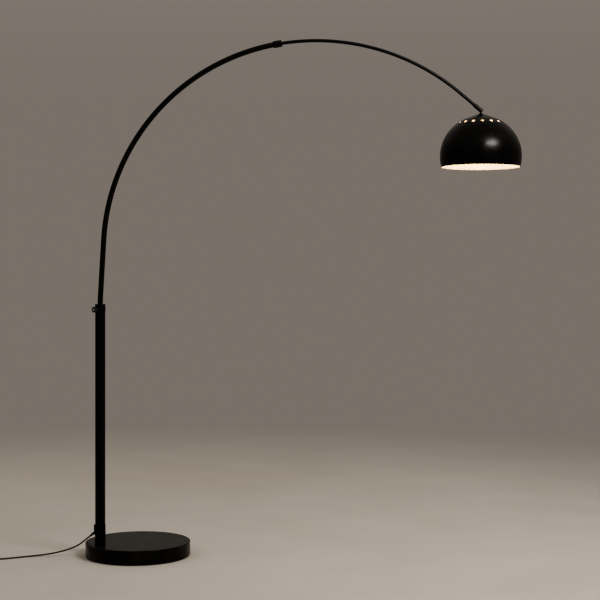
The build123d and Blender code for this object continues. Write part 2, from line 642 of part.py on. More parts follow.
def make_plug():
    tail_plane = Plane(origin=(PLUG_TAIL_X, PLUG_Y, PLUG_Z), z_dir=(1, 0, 0))
    tail = turned((0, 0), (CORD_R + 0.8, 0), (5.2, PLUG_TAIL), (0, PLUG_TAIL), on=tail_plane)
    body_start = PLUG_TAIL_X + PLUG_TAIL
    half_wide, half_thick = PLUG_WIDE / 2, PLUG_THICK / 2
    outline = make_face(Polyline(
        (body_start - 1, -7), (body_start + 14, -half_wide), (body_start + PLUG_BODY, -half_wide),
        (body_start + PLUG_BODY, half_wide), (body_start + 14, half_wide), (body_start - 1, 7), close=True))
    body = Pos(0, PLUG_Y, PLUG_Z - half_thick) * extrude(outline, PLUG_THICK)
    body = fillet(body.edges().group_by(Axis.Z)[-1] + body.edges().group_by(Axis.Z)[0], 2.5)
    plug = body + tail - disc(CORD_R + FIXED, -1, 4, on=tail_plane)
    pin_start = body_start + PLUG_BODY
    pins = []
    for side in (-1, 1):
        on = Plane(origin=(pin_start, PLUG_Y + side * PIN_SPACING / 2, PLUG_Z), z_dir=(1, 0, 0))
        plug -= disc(PIN_R, -8, 1, on=on)
        tip = [(PIN_R, PIN_LENGTH - 1), (PIN_R - 1, PIN_LENGTH), (0, PIN_LENGTH)]
        pins.append(turned((0, -8), (PIN_R, -8), *tip, on=on))
    keep("plug_body", plug)
    keep("plug_pins", *pins)


make_base()
make_pole()
make_relief()
make_knob()
make_stem_fittings()
make_lower_arm()
make_upper_arm()
make_shade()
make_lamp_holder()
make_foot_switch()
make_cord()
make_plug()

os.makedirs("parts", exist_ok=True)
for node, shape in parts.items():
    export_step(shape, f"parts/{node}.step")
cord_leaves = cord_exit + cord_aim * RELIEF_OUT
for label, point in (("joint", joint), ("upper arc", upper_centre), ("ball", pivot), ("cord", cord_leaves)):
    print(label, [round(v, 2) for v in point])
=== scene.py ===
import json
import math

import bmesh
import bpy
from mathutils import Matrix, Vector

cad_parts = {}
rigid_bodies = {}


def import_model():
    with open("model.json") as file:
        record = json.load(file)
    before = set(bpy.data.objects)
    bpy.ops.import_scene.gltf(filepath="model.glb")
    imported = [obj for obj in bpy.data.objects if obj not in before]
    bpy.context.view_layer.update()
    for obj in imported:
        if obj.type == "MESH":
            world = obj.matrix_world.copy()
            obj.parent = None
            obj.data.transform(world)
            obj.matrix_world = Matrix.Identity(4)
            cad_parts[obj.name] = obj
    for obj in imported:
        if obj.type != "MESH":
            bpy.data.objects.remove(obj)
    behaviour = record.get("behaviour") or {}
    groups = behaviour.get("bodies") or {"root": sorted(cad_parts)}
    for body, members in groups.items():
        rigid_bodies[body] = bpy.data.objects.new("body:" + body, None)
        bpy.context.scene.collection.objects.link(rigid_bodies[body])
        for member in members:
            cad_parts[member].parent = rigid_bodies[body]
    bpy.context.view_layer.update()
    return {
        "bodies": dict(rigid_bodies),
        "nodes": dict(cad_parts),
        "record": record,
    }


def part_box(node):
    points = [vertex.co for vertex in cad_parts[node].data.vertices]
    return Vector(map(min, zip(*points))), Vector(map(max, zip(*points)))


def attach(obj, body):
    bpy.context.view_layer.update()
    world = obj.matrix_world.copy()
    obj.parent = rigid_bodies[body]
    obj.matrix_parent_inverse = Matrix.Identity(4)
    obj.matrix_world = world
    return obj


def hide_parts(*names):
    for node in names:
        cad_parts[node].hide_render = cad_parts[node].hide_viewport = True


# Looks of the arc floor lamp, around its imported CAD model. Lengths named below are in millimetres.
# MM turns them into Blender's metres. +X runs from the base to the shade, -Y is the front.

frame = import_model()
MM = 0.001
BODY_OF = {node: body for body, nodes in frame["record"]["behaviour"]["bodies"].items() for node in nodes}
SLOT_OF = {row["node"]: row["material_slot"] for row in frame["record"]["subparts"]}
collection = bpy.context.scene.collection


# Camera: level, at about standing chest height, square to the bow's plane
camera = bpy.data.objects.new("camera", bpy.data.cameras.new("camera"))
camera.data.sensor_width = 36
camera.data.lens = 82.0
camera.data.shift_y = -0.0408
camera.location = (0.597, -5.039, 1.031)
camera.rotation_euler = (math.radians(90), 0, 0)
collection.objects.link(camera)
bpy.context.scene.camera = camera


# Materials
def shade_nodes(name, roughness=0.5, metallic=0.0, **settings):
    """A new material with its Principled shader. settings are uniform values of that shader."""
    made = bpy.data.materials.new(name)
    made.use_nodes = True
    shader = made.node_tree.nodes["Principled BSDF"]
    shader.inputs["Roughness"].default_value = roughness
    shader.inputs["Metallic"].default_value = metallic
    for key, value in settings.items():
        shader.inputs[key.replace("_", " ")].default_value = value
    return made, shader


class Pattern:
    """Adds texture nodes to a material. Places are in metres, in the object's own frame."""

    def __init__(self, made, shader):
        self.tree, self.shader = made.node_tree, shader
        self.place = self.tree.nodes.new("ShaderNodeTexCoord").outputs["Object"]

    def node(self, kind, **inputs):
        made = self.tree.nodes.new("ShaderNode" + kind)
        for key, value in inputs.items():
            self.feed(made.inputs[key.replace("_", " ")], value)
        return made

    def feed(self, socket, value):
        if isinstance(value, bpy.types.NodeSocket):
            self.tree.links.new(value, socket)
        else:
            socket.default_value = value

    def noise(self, size, detail=3.0, rough=0.5, distortion=0.0, place=None):
        """Noise with features of about that size in millimetres."""
        made = self.node("TexNoise", Vector=place or self.place, Scale=1 / (size * MM),
                         Detail=detail, Roughness=rough, Distortion=distortion)
        return made.outputs["Fac"]

    def cells(self, size, output="Distance"):
        return self.node("TexVoronoi", Vector=self.place, Scale=1 / (size * MM)).outputs[output]

    def stretch(self, x, y, z):
        return self.node("Mapping", Vector=self.place, Scale=(x, y, z)).outputs["Vector"]

    def math(self, operation, a, b=0.0):
        made = self.tree.nodes.new("ShaderNodeMath")
        made.operation = operation
        self.feed(made.inputs[0], a)
        self.feed(made.inputs[1], b)
        return made.outputs[0]

    def span(self, value, low, high, to_low=0.0, to_high=1.0):
        """Maps a value smoothly from one span to another, held at the ends."""
        made = self.node("MapRange", Value=value, From_Min=low, From_Max=high, To_Min=to_low, To_Max=to_high)
        made.interpolation_type = "SMOOTHSTEP"
        return made.outputs["Result"]

    def ramp(self, value, *stops):
        """Colour by value: (place, (r, g, b)) stops."""
        made = self.node("ValToRGB", Fac=value)
        ramp = made.color_ramp
        while len(ramp.elements) < len(stops):
            ramp.elements.new(1.0)
        for element, (at, colour) in zip(ramp.elements, stops):
            element.position, element.color = at, (*colour, 1)
        return made.outputs["Color"]

    def blend(self, share, a, b):
        made = self.tree.nodes.new("ShaderNodeMix")
        made.data_type = "RGBA"
        for index, value in ((0, share), (6, a), (7, b)):
            self.feed(made.inputs[index], value)
        return made.outputs[2]

    def edges(self, low=0.52, high=0.6):
        """Where the surface turns outwards sharply, from 0 to 1."""
        sharp = self.tree.nodes.new("ShaderNodeNewGeometry").outputs["Pointiness"]
        return self.span(sharp, low, high)

    def bumps(self, *layers):
        """(height, depth in millimetres) layers, one over another."""
        normal = None
        for height, depth in layers:
            made = self.node("Bump", Height=height, Distance=depth * MM, Strength=1.0)
            if normal:
                self.feed(made.inputs["Normal"], normal)
            normal = made.outputs["Normal"]
        self.feed(self.shader.inputs["Normal"], normal)

    def set(self, **inputs):
        for key, value in inputs.items():
            self.feed(self.shader.inputs[key.replace("_", " ")], value)


def painted(name, dark, light, roughness, peel, depth, **settings):
    """Paint on metal: orange peel of one size, cloudy gloss, and edges rubbed a little lighter."""
    made, shader = shade_nodes(name, **settings)
    p = Pattern(made, shader)
    clouds, handling = p.noise(38, 5, 0.6), p.noise(9, 6, 0.65)
    worn = p.math("MULTIPLY", p.edges(), p.span(handling, 0.45, 0.7))
    colour = p.ramp(clouds, (0.3, dark), (0.75, light))
    rubbed = tuple(4 * c + 0.012 for c in light)
    gloss = p.math("ADD", p.span(clouds, 0.3, 0.7, roughness - 0.04, roughness + 0.05),
                   p.span(handling, 0.4, 0.75, -0.02, 0.04))
    p.set(Base_Color=p.blend(p.math("MULTIPLY", worn, 0.6), colour, (*rubbed, 1)), Roughness=gloss)
    p.bumps((p.noise(peel, 2), depth), (p.noise(peel * 9, 2), depth * 1.5))
    return made


def moulded(name, dark, light, roughness, grain, depth, **settings):
    """Moulded plastic or rubber: a fine spark-eroded grain and faint flow marks."""
    made, shader = shade_nodes(name, **settings)
    p = Pattern(made, shader)
    flow = p.noise(16, 4, 0.55, 0.8)
    p.set(Base_Color=p.ramp(flow, (0.3, dark), (0.72, light)),
          Roughness=p.math("ADD", p.span(flow, 0.3, 0.7, roughness - 0.05, roughness + 0.06),
                           p.math("MULTIPLY", p.edges(), -0.08)))
    p.bumps((p.cells(grain), depth), (p.noise(grain * 2.2, 3), depth))
    return made


def turned_metal(name, dull, bright, roughness, line=0.12, depth=0.004):
    """Machined metal: fine tool lines across the axis, and a light tarnish."""
    made, shader = shade_nodes(name, metallic=1.0)
    p = Pattern(made, shader)
    tarnish = p.noise(7, 6, 0.6)
    lines = p.noise(line, 1, place=p.stretch(0.02, 0.02, 1.0))
    p.set(Base_Color=p.ramp(tarnish, (0.28, dull), (0.62, bright)),
          Roughness=p.math("ADD", p.span(tarnish, 0.3, 0.7, roughness + 0.1, roughness - 0.04),
                           p.span(lines, 0.3, 0.7, -0.03, 0.03)))
    p.bumps((lines, depth), (p.noise(1.5, 3), depth))
    return made


def black_stone():
    """Polished near-black stone: clouded ground, small crystals, sparse hairline veins."""
    made, shader = shade_nodes("polished_stone", IOR=1.42, Specular_IOR_Level=0.2)
    p = Pattern(made, shader)
    ground = p.ramp(p.noise(55, 9, 0.6, 0.7), (0.30, (0.004, 0.004, 0.0043)), (0.52, (0.0085, 0.008, 0.0075)),
                    (0.74, (0.022, 0.0175, 0.0135)))
    wander = p.noise(120, 7, 0.62, 1.6)
    line = p.span(p.math("ABSOLUTE", p.math("SUBTRACT", wander, 0.5)), 0.0, 0.006, 1.0, 0.0)
    sparse = p.span(p.noise(85, 3), 0.5, 0.66)
    vein = p.math("MULTIPLY", line, sparse)
    colour = p.blend(p.math("MULTIPLY", vein, 0.55), ground, (0.16, 0.145, 0.125, 1))
    crystals = p.cells(2.6, "Color")
    speck = p.span(p.cells(1.9), 0.0, 0.16, 0.10, 0.0)
    colour = p.blend(speck, colour, (0.09, 0.085, 0.075, 1))
    grain = p.node("SeparateColor", Color=crystals).outputs[0]
    polish = p.math("ADD", p.span(grain, 0.0, 1.0, 0.17, 0.23), p.span(p.noise(26, 5), 0.35, 0.7, 0.0, 0.06))
    p.set(Base_Color=colour, Roughness=polish)
    p.bumps((grain, 0.004), (vein, -0.015), (p.noise(20, 2), 0.02))
    return made


def foam():
    made, shader = shade_nodes("pad_foam", roughness=0.9, Specular_IOR_Level=0.3)
    p = Pattern(made, shader)
    pores = p.cells(0.6)
    p.set(Base_Color=p.ramp(pores, (0.1, (0.012, 0.012, 0.012)), (0.7, (0.05, 0.05, 0.049))),
          Roughness=p.span(p.noise(4, 3), 0.3, 0.7, 0.82, 0.95))
    p.bumps((pores, 0.15), (p.noise(3, 3), 0.1))
    return made


def cable_sheath():
    """Soft PVC, dark brown-black, with a faint drawn texture and dull patches from handling."""
    made, shader = shade_nodes("cord_pvc", IOR=1.5, Specular_IOR_Level=0.4)
    p = Pattern(made, shader)
    dull = p.noise(30, 5, 0.6)
    p.set(Base_Color=p.ramp(dull, (0.3, (0.017, 0.012, 0.009)), (0.7, (0.034, 0.024, 0.017))),
          Roughness=p.span(dull, 0.3, 0.7, 0.38, 0.55))
    p.bumps((p.noise(0.8, 2), 0.015), (p.noise(9, 2), 0.05))
    return made


def enamel():
    """The warm white inside of the shade."""
    made, shader = shade_nodes("shade_enamel", Coat_Weight=0.15, Coat_Roughness=0.2)
    p = Pattern(made, shader)
    clouds = p.noise(45, 5, 0.6)
    p.set(Base_Color=p.ramp(clouds, (0.3, (0.80, 0.765, 0.70)), (0.7, (0.87, 0.845, 0.79))),
          Roughness=p.span(clouds, 0.3, 0.7, 0.3, 0.42))
    p.bumps((p.noise(1.4, 2), 0.02), (p.noise(14, 2), 0.04))
    return made


def opal_bulb():
    """A lit opal bulb: warm white, brightest round the middle, dimmer towards its neck."""
    made, shader = shade_nodes("bulb_opal", roughness=0.22, Emission_Strength=2.8)
    p = Pattern(made, shader)
    height = p.node("SeparateXYZ", Vector=p.place).outputs["Z"]
    low, high = (corner.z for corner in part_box("bulb_glass"))
    neck = p.span(height, low + 0.6 * (high - low), high, 0.0, 1.0)
    frost = p.noise(5, 4, 0.6)
    dimmed = p.math("ADD", p.math("MULTIPLY", neck, 0.75), p.span(frost, 0.3, 0.7, 0.0, 0.12))
    p.set(Base_Color=p.ramp(frost, (0.3, (0.86, 0.84, 0.80)), (0.7, (0.92, 0.90, 0.87))),
          Emission_Color=p.ramp(dimmed, (0.0, (1.0, 0.76, 0.44)), (0.9, (0.42, 0.25, 0.11))),
          Roughness=p.span(frost, 0.3, 0.7, 0.18, 0.3))
    p.bumps((p.noise(0.7, 2), 0.01), (frost, 0.02))
    return made


def glazed():
    made, shader = shade_nodes("insulator_ceramic", Coat_Weight=0.6, Coat_Roughness=0.05)
    p = Pattern(made, shader)
    clouds = p.noise(6, 5, 0.6)
    p.set(Base_Color=p.ramp(clouds, (0.3, (0.78, 0.75, 0.69)), (0.7, (0.88, 0.86, 0.82))),
          Roughness=p.span(clouds, 0.3, 0.7, 0.12, 0.24))
    p.bumps((p.noise(1.2, 3), 0.02), (clouds, 0.05))
    return made


BLACK, SOFT_BLACK = (0.0035, 0.0035, 0.0037), (0.006, 0.0058, 0.0058)
FINISH = {
    "polished_stone": black_stone(),
    "pad_foam": foam(),
    "black_paint": painted("black_paint", BLACK, SOFT_BLACK, 0.40, 0.9, 0.006, Specular_IOR_Level=0.25),
    "shade_paint": painted("shade_paint", (0.003, 0.003, 0.0032), (0.0048, 0.0047, 0.0046), 0.3, 1.6, 0.006,
                           Specular_IOR_Level=0.22),
    "zinc_steel": turned_metal("zinc_steel", (0.42, 0.42, 0.41), (0.62, 0.62, 0.60), 0.34),
    "bright_steel": turned_metal("bright_steel", (0.58, 0.57, 0.54), (0.76, 0.75, 0.72), 0.22),
    "brass": turned_metal("brass", (0.46, 0.31, 0.12), (0.76, 0.58, 0.28), 0.26),
    "nylon": moulded("nylon", (0.62, 0.60, 0.54), (0.76, 0.74, 0.69), 0.45, 0.5, 0.01, Subsurface_Weight=0.1),
    "black_plastic": moulded("black_plastic", (0.011, 0.011, 0.011), (0.021, 0.021, 0.021), 0.46, 0.35, 0.02),
    "black_rubber": moulded("black_rubber", (0.013, 0.0125, 0.012), (0.026, 0.025, 0.023), 0.62, 0.5, 0.025,
                            Specular_IOR_Level=0.35),
    "cord_pvc": cable_sheath(),
    "holder_plastic": moulded("holder_plastic", (0.76, 0.735, 0.68), (0.84, 0.815, 0.77), 0.3, 0.4, 0.006),
    "insulator_ceramic": glazed(),
    "bulb_opal": opal_bulb(),
}
ENAMEL = enamel()

for node, piece in frame["nodes"].items():
    for index in range(len(piece.data.materials)):
        piece.data.materials[index] = FINISH[SLOT_OF[node]]


# Mesh helpers
def piece_from(name, bm, *nodes, extra=(), crease=38.0):
    """Makes a mesh object that stands for CAD nodes and rides on their body."""
    bmesh.ops.remove_doubles(bm, verts=bm.verts, dist=2e-6)
    bmesh.ops.recalc_face_normals(bm, faces=bm.faces)
    mesh = bpy.data.meshes.new(name)
    bm.to_mesh(mesh)
    bm.free()
    mesh.shade_smooth()
    mesh.set_sharp_from_angle(angle=math.radians(crease))
    slot = SLOT_OF[nodes[0]]
    for made in (FINISH[slot], *extra):
        mesh.materials.append(made)
    obj = bpy.data.objects.new(name, mesh)
    collection.objects.link(obj)
    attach(obj, BODY_OF[nodes[0]])
    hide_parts(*nodes)
    return obj


def softened(outline, radius, steps=4):
    """A closed profile with its corners rounded, and a holding point beside each round. Radius may be
    per corner."""
    count = len(outline)
    radii = radius if isinstance(radius, (list, tuple)) else [radius] * count
    made = []
    for i, (corner, r) in enumerate(zip(outline, radii)):
        here = Vector(corner)
        if not r:
            made.append(tuple(here))
            continue
        before, after = Vector(outline[i - 1]) - here, Vector(outline[(i + 1) % count]) - here
        reach = min(r, 0.45 * before.length, 0.45 * after.length)
        a, b = here + before.normalized() * reach, here + after.normalized() * reach
        hold = 0.35 * reach
        if before.length > 3 * reach:
            made.append(tuple(a + before.normalized() * hold))
        for s in range(steps + 1):
            t = s / steps
            made.append(tuple(a * (1 - t) ** 2 + here * 2 * t * (1 - t) + b * t**2))
        if after.length > 3 * reach:
            made.append(tuple(b + after.normalized() * hold))
    return made


def skin(bm, rings, closed_path=False):
    """Joins closed rings of equal length with quads."""
    n = len(rings[0])
    pairs = list(zip(rings, rings[1:])) + ([(rings[-1], rings[0])] if closed_path else [])
    for a, b in pairs:
        for i in range(n):
            j = (i + 1) % n
            corners = []
            for v in (a[i], a[j], b[j], b[i]):
                if v not in corners:
                    corners.append(v)
            if len(corners) > 2:
                bm.faces.new(corners)


def spun(bm, profile, origin, axis=(0, 0, 1), sides=96, wave=None):
    """Adds a turned body: (radius, height) points in millimetres about an axis. wave(angle, radius) may
    give each point its own radius."""
    turn = Vector(axis).to_track_quat("Z", "Y").to_matrix()
    rings = []
    for r, h in profile:
        if r < 1e-6:
            middle = bm.verts.new(Vector(origin) * MM + turn @ Vector((0, 0, h * MM)))
            rings.append([middle] * sides)
            continue
        ring = []
        for i in range(sides):
            angle = 2 * math.pi * i / sides
            here = wave(angle, r) if wave else r
            ring.append(bm.verts.new(Vector(origin) * MM + turn @ Vector(
                (here * math.cos(angle) * MM, here * math.sin(angle) * MM, h * MM))))
        rings.append(ring)
    skin(bm, rings, closed_path=profile[0][0] > 1e-6)


def lathe(name, profile, origin, *nodes, axis=(0, 0, 1), sides=96, wave=None, **options):
    bm = bmesh.new()
    spun(bm, profile, origin, axis, sides, wave)
    return piece_from(name, bm, *nodes, **options)


# The bow's centre line, by heading: degrees from vertical, towards +X
POLE_X, STEM_BOTTOM, BEND_START, BEND_R, LEAN = -139.5, 504.0, 928.0, 450.0, 3.3
LOWER_ARC_START, LOWER_ARC_R, JOINT_HEADING = 1164.0, 777.0, 80.6
UPPER_ARC_R, END_HEADING, PIVOT_AFTER_ARC = 826.0, 130.2, 95.8

# Outer and inner radii of the tubes and of what slips over them
POLE_R, POLE_BORE = 18.3, 16.5
FOOT_SLEEVE_R, FOOT_SLEEVE_BORE = 19.5, 18.35
COLLAR_R, COLLAR_SPIGOT_R, COLLAR_BORE = 19.0, 16.45, 11.6
LOWER_R, LOWER_BORE = 9.6, 8.4
UPPER_R, UPPER_BORE = 6.0, 5.0


def along(heading):
    return Vector((math.sin(math.radians(heading)), 0, math.cos(math.radians(heading))))


def inward(heading):
    return Vector((math.cos(math.radians(heading)), 0, -math.sin(math.radians(heading))))


def arc(centre, radius, first, last, step=0.5):
    count = max(2, math.ceil((last - first) / step))
    headings = [first + (last - first) * i / count for i in range(count + 1)]
    return [(centre - inward(h) * radius, h) for h in headings]


def straight(start, heading, length, count=4):
    return [(start + along(heading) * length * i / count, heading) for i in range(count + 1)]


lean_centre = Vector((POLE_X + BEND_R, 0, BEND_START))
lean_start = lean_centre - inward(LEAN) * BEND_R
lean_length = (LOWER_ARC_START - lean_start.z) / math.cos(math.radians(LEAN))
lower_centre = lean_start + along(LEAN) * lean_length + inward(LEAN) * LOWER_ARC_R
joint = lower_centre - inward(JOINT_HEADING) * LOWER_ARC_R
upper_centre = joint + inward(JOINT_HEADING) * UPPER_ARC_R
upper_arc_end = upper_centre - inward(END_HEADING) * UPPER_ARC_R
pivot = upper_arc_end + along(END_HEADING) * PIVOT_AFTER_ARC


def tube(name, stations, outer, inner, node, sides=48):
    """A round tube along (point, heading) stations."""
    bm = bmesh.new()
    skins = []
    for radius in (outer, inner):
        rings = []
        for point, heading in stations:
            side, across = inward(heading), Vector((0, 1, 0))
            rings.append([bm.verts.new((point + radius * (side * math.cos(a) + across * math.sin(a))) * MM)
                          for a in (2 * math.pi * i / sides for i in range(sides))])
        skin(bm, rings)
        skins.append(rings)
    for end in (0, -1):
        skin(bm, [skins[0][end], skins[1][end]])
    return piece_from(name, bm, node)


# Cord: one NURBS line with the route's points, the coil's turns and the run to the plug
CORD_D = 5.5
FLOOR_Z = CORD_D / 2
SWITCH = (-570.0, -90.0)
ENTRY_Z = 6.0
COIL = (-672.0, -55.5)
RANKS = (34.5, 29.0, 23.5, 23.5, 29.0, 34.5, 34.5)
TURN_POINTS = 16
PLUG_Y = -21.0
ROUTE = [(-160.26, -3.66, 84.27), (-186.64, -8.31, 63.34), (-216, -13.5, 40.2), (-252, -17, 25.0),
         (-293, -19, 14.4), (-334, -20, 7.0), (-374, -26, 3.6), (-413, -42, 2.75), (-453, -64, 2.75),
         (-487, -83, 3.0), (-516, -90, ENTRY_Z), (-540, -90, ENTRY_Z)]
TAIL_ROUTE = [(-600, -90, ENTRY_Z), (-628, -90, ENTRY_Z), (-646, -90, 2.9), (-660, -90, FLOOR_Z)]
PLUG_ROUTE = [(-662, PLUG_Y, 13.75), (-647, PLUG_Y, 9.6), (-631, PLUG_Y, 6.9), (-617, PLUG_Y, 6.9)]


def coil_points():
    """Six and a half turns in three layers. Rank and layer change over the last third of each turn."""
    drawn_in = 0.981
    made = []
    total = int(6.5 * TURN_POINTS)
    for i in range(total + 1):
        turn, share = divmod(i / TURN_POINTS, 1)
        turn = int(turn)
        after = min(turn + 1, len(RANKS) - 1)
        move = max(0.0, (share - 0.667) / 0.333)
        move = move * move * (3 - 2 * move)
        radius = RANKS[turn] + (RANKS[after] - RANKS[turn]) * move
        layer = turn // 3 + (after // 3 - turn // 3) * move
        angle = math.radians(-90 - 360 * i / TURN_POINTS)
        made.append((COIL[0] + radius / drawn_in * math.cos(angle),
                     COIL[1] + radius / drawn_in * math.sin(angle), FLOOR_Z + CORD_D * layer))
    return made


def cord_curve():
    points = ROUTE + TAIL_ROUTE + coil_points() + PLUG_ROUTE
    data = bpy.data.curves.new("mains_cord", "CURVE")
    data.dimensions = "3D"
    line = data.splines.new("NURBS")
    line.points.add(len(points) - 1)
    for point, place in zip(line.points, points):
        point.co = (*(c * MM for c in place), 1)
    line.order_u = 3
    line.use_endpoint_u = True
    line.resolution_u = 8
    data.bevel_depth = CORD_D / 2 * MM
    data.bevel_resolution = 6
    data.use_fill_caps = True
    data.materials.append(FINISH["cord_pvc"])
    cord = bpy.data.objects.new("mains_cord", data)
    collection.objects.link(cord)
    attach(cord, "base")
    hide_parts("power_cord", "cord_switch_to_coil", "cord_coil_to_plug", "cord_coil")
    return cord


cord = cord_curve()


# Pieces on the cord
def tie():
    """A ribbed strap round one side of the coil."""
    low, high = (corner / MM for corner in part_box("cord_tie"))
    middle = ((low.x + high.x) / 2, (low.z + high.z) / 2)
    half = ((high.x - low.x) / 2, (high.z - low.z) / 2)
    bm = bmesh.new()
    around = []
    corner, strap = 4.6, 1.15
    for quarter in range(4):
        for s in range(7):
            angle = math.pi / 2 * (quarter + s / 6)
            sx, sz = (1, -1, -1, 1)[quarter], (1, 1, -1, -1)[quarter]
            around.append((middle[0] + sx * (half[0] - corner), middle[1] + sz * (half[1] - corner), angle))
    rings = []
    width = high.y - low.y
    band = [(0.0, 0.35), (0.35, 0.0), (1.2, -0.12), (2.2, 0.08), (3.4, -0.12), (4.6, 0.08), (5.4, 0.08),
            (6.6, -0.12), (7.8, 0.08), (8.8, -0.12), (9.65, 0.0), (10.0, 0.35)]
    section = [(low.y + y * width / 10, inset) for y, inset in band]
    section += [(y, strap) for y, _ in reversed(section)]
    for cx, cz, angle in around:
        out = Vector((math.cos(angle), 0, math.sin(angle)))
        rings.append([bm.verts.new((Vector((cx, y, cz)) + out * (corner - max(inset, 0.02))) * MM)
                      for y, inset in section])
    skin(bm, rings, closed_path=True)
    return piece_from("cord_tie_look", bm, "cord_tie")


def plug():
    """Flat two-pin plug: a waisted body with finger grips and a ribbed tail."""
    low, high = (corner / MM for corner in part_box("plug_body"))
    z = (low.z + high.z) / 2
    tail_x, body_x, sides = low.x, low.x + 24, 48
    bm = bmesh.new()
    bore = CORD_D / 2 + 0.05
    tail = [(bore, 3.0), (bore, 0.0), (3.4, 0.0)]
    for i in range(6):
        at, r = 1.2 + i * 3.4, 3.7 + i * 0.27
        tail += [(r, at), (r + 0.12, at + 2.0), (r - 0.55, at + 2.3), (r - 0.5, at + 3.1)]
    tail += [(5.1, 22.5), (5.1, 26.0), (0.0, 26.0)]
    spun(bm, [(0.0, 3.0)] + tail, (tail_x, PLUG_Y, z), axis=(1, 0, 0), sides=sides)
    half_thick = (high.z - low.z) / 2
    length, square = high.x - body_x, 0.42
    outline = [(0.0, 5.6), (3.0, 8.2), (7.0, 12.2), (11.0, 15.6), (14.0, 17.4), (20.0, 17.5), (26.0, 17.1),
               (31.0, 17.5), (length, 17.5)]
    stations = []
    for x, half_wide in outline:
        stations.append((x, half_wide, half_thick - 0.9 * max(0.0, 1 - abs(x - 22) / 9) ** 2
                         - 1.6 * max(0.0, 1 - x / 14)))
    rings = []
    for x, w, t in [(stations[0][0], 4.6, 4.4)] + stations[:-1] + [(length - 1.0, 17.5, half_thick),
                                                                     (length - 0.25, 17.2, half_thick - 0.3),
                                                                     (length, 16.4, half_thick - 1.1)]:
        ring = []
        for i in range(sides):
            a = 2 * math.pi * i / sides
            ca, sa = math.cos(a), math.sin(a)
            ring.append(bm.verts.new(Vector((
                body_x + x, PLUG_Y + w * math.copysign(abs(ca) ** square, ca),
                z + t * math.copysign(abs(sa) ** square, sa))) * MM))
        rings.append(ring)
    skin(bm, rings)
    for ring in (rings[0], rings[-1]):
        bm.faces.new(ring)
    return piece_from("plug_body_look", bm, "plug_body", crease=50)


def button():
    """The switch button: shallow dish with three rings."""
    low, high = (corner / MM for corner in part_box("switch_button"))
    top, foot = high.z, low.z
    rise = [(0.0, top - 0.9), (2.0, top - 0.88)]
    for r in (4.0, 6.4, 8.8):
        rise += [(r - 0.5, top - 0.8), (r - 0.15, top - 0.35), (r + 0.15, top - 0.35), (r + 0.5, top - 0.75)]
    rise += [(10.6, top - 0.5), (11.8, top), (12.4, top - 0.15), (13.0, top - 1.1), (13.0, foot + 1.6),
             (15.0, foot + 1.6), (15.0, foot), (0.0, foot)]
    return lathe("switch_button_look", rise, (*SWITCH, 0), "switch_button", sides=96)


tie_look, plug_look = tie(), plug()
button()


# Base and pole
def heights(node):
    low, high = (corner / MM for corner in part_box(node))
    return low.z, high.z


def base_stone():
    foot, top = heights("base_stone")
    r, edge, under = 192.0, 3.0, 1.5
    profile = [(0, foot), (r - under - 6, foot), (r - under - 0.4, foot), (r - under, foot + 0.1),
               (r - 0.1, foot + under), (r, foot + under + 0.4), (r, foot + 8), (r, top - 12),
               (r, top - edge - 1)]
    profile += [(r - edge + edge * math.cos(math.radians(a)), top - edge + edge * math.sin(math.radians(a)))
                for a in range(0, 91, 10)]
    profile += [(r - edge - 1, top), (r - 14, top), (r - 60, top), (r - 120, top), (0, top)]
    return lathe("base_stone_look", profile, (0, 0, 0), "base_stone", sides=256, crease=60)


def pole_pieces():
    foot, top = heights("pole")
    at = (POLE_X, 0, 0)
    wall = [(POLE_BORE, foot), (POLE_R, foot), (POLE_R, top), (POLE_BORE, top)]
    lathe("pole_look", softened(wall, [0, 0.3, 0.3, 0]), at, "pole", sides=128)
    low, high = heights("pole_foot_sleeve")
    wall = [(FOOT_SLEEVE_BORE, low), (FOOT_SLEEVE_R, low), (FOOT_SLEEVE_R, high), (FOOT_SLEEVE_BORE, high)]
    lathe("pole_foot_sleeve_look", softened(wall, [0, 0.4, 0.9, 0.2]), at, "pole_foot_sleeve", sides=128)


def collar():
    """The collar with its spigot, a turned shoulder and a fine groove under its top."""
    low, high = heights("pole_top_collar")
    shoulder = high - 28
    groove_r = COLLAR_R - 0.45
    outer = [(COLLAR_BORE, low), (COLLAR_SPIGOT_R, low), (COLLAR_SPIGOT_R, shoulder), (COLLAR_R, shoulder),
             (COLLAR_R, high - 4.6), (groove_r, high - 4.2), (groove_r, high - 3.6), (COLLAR_R, high - 3.2),
             (COLLAR_R, high), (COLLAR_BORE, high)]
    outline = softened(outer, [0, 0.3, 0, 0.5, 0.15, 0.15, 0.15, 0.15, 0.9, 0.5])
    return lathe("pole_top_collar_look", outline, (POLE_X, 0, 0), "pole_top_collar", sides=128)


